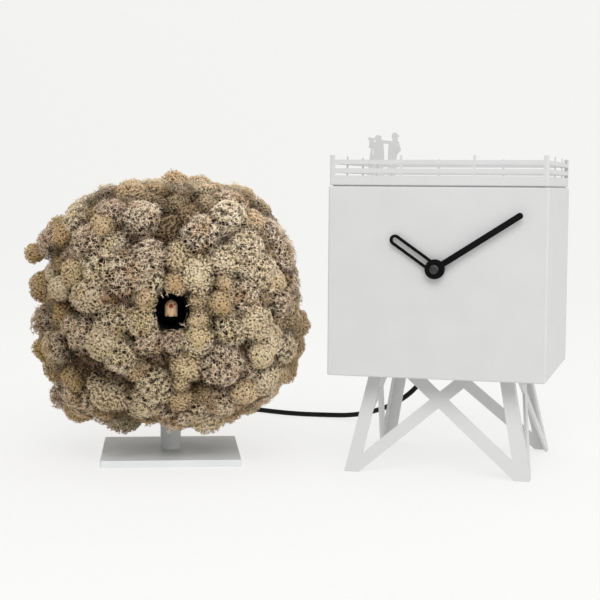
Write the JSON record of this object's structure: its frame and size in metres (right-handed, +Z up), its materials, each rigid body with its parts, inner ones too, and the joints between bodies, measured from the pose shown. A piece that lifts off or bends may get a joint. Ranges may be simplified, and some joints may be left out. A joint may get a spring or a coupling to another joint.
{
  "type": "cuckoo clock",
  "caption": "Box clock on splayed cross-braced legs with a fenced roof, cabled to a lichen-covered ball on a stem whose round hole hides a sliding wooden cuckoo.",
  "frame": {"origin": "on the table, under the middle of the object's box without the cable", "axes": "+X to the viewer's right along the clock box's front, +Y to the rear, +Z up"},
  "size_m": [0.4521, 0.3806, 0.2856],
  "materials": {
    "white_powder_coat": "fine satin powder coat on sheet steel",
    "grey_powder_coat": "satin light-grey powder coat",
    "steel": "zinc-plated steel",
    "black_plastic": "fine-textured moulded plastic",
    "nest_black": "matt black",
    "natural_plastic": "unpigmented acetal",
    "dark_metal": "blackened steel",
    "brass": "turned brass",
    "copper_coil": "enamelled copper winding on soft iron",
    "black_hand": "matt black lacquer on sheet metal",
    "cell_wrap": "plain cell wrapper",
    "circuit_board": "solder-mask green",
    "pale_wood": "fine-sanded unvarnished wood",
    "red_paint": "red hobby paint",
    "lichen": "dried, preserved reindeer lichen, dry and matt",
    "black_cable": "smooth matt black cable jacket"
  },
  "bodies": {
    "root": {"tower_shell": "white_powder_coat", "bottom_plate": "white_powder_coat", "rear_panel": "white_powder_coat", "leg_frame_front": "white_powder_coat", "leg_frame_right": "white_powder_coat", "leg_frame_back": "white_powder_coat", "leg_frame_left": "white_powder_coat", "leg_mounting_ring": "white_powder_coat", "roof_tray": "white_powder_coat", "birdwatcher_figures": "white_powder_coat", "door_hinge_pin": "steel", "panel_screws": "steel", "leg_screws": "steel", "tray_screws": "steel", "movement_case_front": "black_plastic", "movement_case_back": "black_plastic", "fixing_nut": "dark_metal", "step_stator_and_coil": "copper_coil", "battery_holder": "black_plastic", "battery_cells": "cell_wrap", "contact_springs": "steel", "control_board": "circuit_board", "speaker": "black_plastic", "volume_pot": "dark_metal", "mode_switch_body": "black_plastic", "tower_cord_gland": "black_plastic", "base_plate": "grey_powder_coat", "base_screw": "steel", "stem_tube": "grey_powder_coat", "stem_collar": "grey_powder_coat", "core_front_shell": "black_plastic", "core_rear_cover": "black_plastic", "cover_screws": "steel", "nest_tube": "nest_black", "gear_motor": "dark_metal", "mechanism_bracket": "black_plastic", "bird_board": "circuit_board", "tree_cord_gland": "black_plastic", "lichen_front": "lichen", "lichen_back": "lichen", "lichen_sides": "lichen", "lichen_top": "lichen", "lichen_bottom": "lichen", "connecting_cord": "black_cable"},
    "minute": {"minute_arbor": "brass", "minute_hand": "black_hand", "hand_nut": "dark_metal"},
    "hour": {"hour_wheel": "natural_plastic", "hour_hand": "black_hand"},
    "minute_work": {"minute_work_wheel": "natural_plastic"},
    "setting": {"setting_pinion": "natural_plastic", "setting_knob": "black_plastic"},
    "rotor": {"step_rotor": "dark_metal"},
    "bird": {"bird_carriage": "nest_black", "cuckoo_bird": "pale_wood", "cuckoo_beak": "red_paint"},
    "drive": {"drive_pinion": "natural_plastic"},
    "door": {"rear_door": "white_powder_coat"},
    "volume": {"volume_knob": "black_plastic"},
    "mode": {"mode_switch_slider": "natural_plastic"}
  },
  "joints": [
    {"name": "minute_spin", "type": "hinge", "parent": "root", "child": "minute", "pos_m": [0.13606, -0.06808, 0.1727], "axis": [0, 1, 0], "continuous": true},
    {"name": "hour_spin", "type": "hinge", "parent": "root", "child": "hour", "pos_m": [0.13606, -0.06508, 0.1727], "axis": [0, 1, 0], "continuous": true},
    {"name": "minute_work_spin", "type": "hinge", "parent": "root", "child": "minute_work", "pos_m": [0.12166, -0.05608, 0.1727], "axis": [0, 1, 0], "continuous": true},
    {"name": "setting_spin", "type": "hinge", "parent": "root", "child": "setting", "pos_m": [0.12166, -0.04808, 0.1583], "axis": [0, 1, 0], "continuous": true},
    {"name": "rotor_spin", "type": "hinge", "parent": "root", "child": "rotor", "pos_m": [0.15206, -0.05008, 0.1587], "axis": [0, 1, 0], "continuous": true},
    {"name": "bird_slide", "type": "slide", "parent": "root", "child": "bird", "axis": [0.3533, -0.9355, 0], "range_m": [0, 0.024]},
    {"name": "drive_spin", "type": "hinge", "parent": "root", "child": "drive", "pos_m": [-0.09493, -0.05509, 0.1226], "axis": [0.9355, 0.3533, 0], "range_deg": [-10, 300]},
    {"name": "door_hinge", "type": "hinge", "parent": "root", "child": "door", "pos_m": [0.19306, 0.11952, 0.164], "axis": [0, 0, -1], "range_deg": [0, 110]},
    {"name": "volume_turn", "type": "hinge", "parent": "root", "child": "volume", "pos_m": [0.16006, 0.12192, 0.105], "axis": [0, 1, 0], "range_deg": [-135, 135]},
    {"name": "mode_slide", "type": "slide", "parent": "root", "child": "mode", "axis": [1, 0, 0], "range_m": [0, 0.004]}
  ],
  "couplings": [
    {"joint": "hour_spin", "follows": "minute_spin", "ratio": 0.083333},
    {"joint": "minute_work_spin", "follows": "minute_spin", "ratio": -0.33333},
    {"joint": "setting_spin", "follows": "minute_spin", "ratio": 1},
    {"joint": "drive_spin", "follows": "bird_slide", "rad_per_m": 208.33}
  ]
}
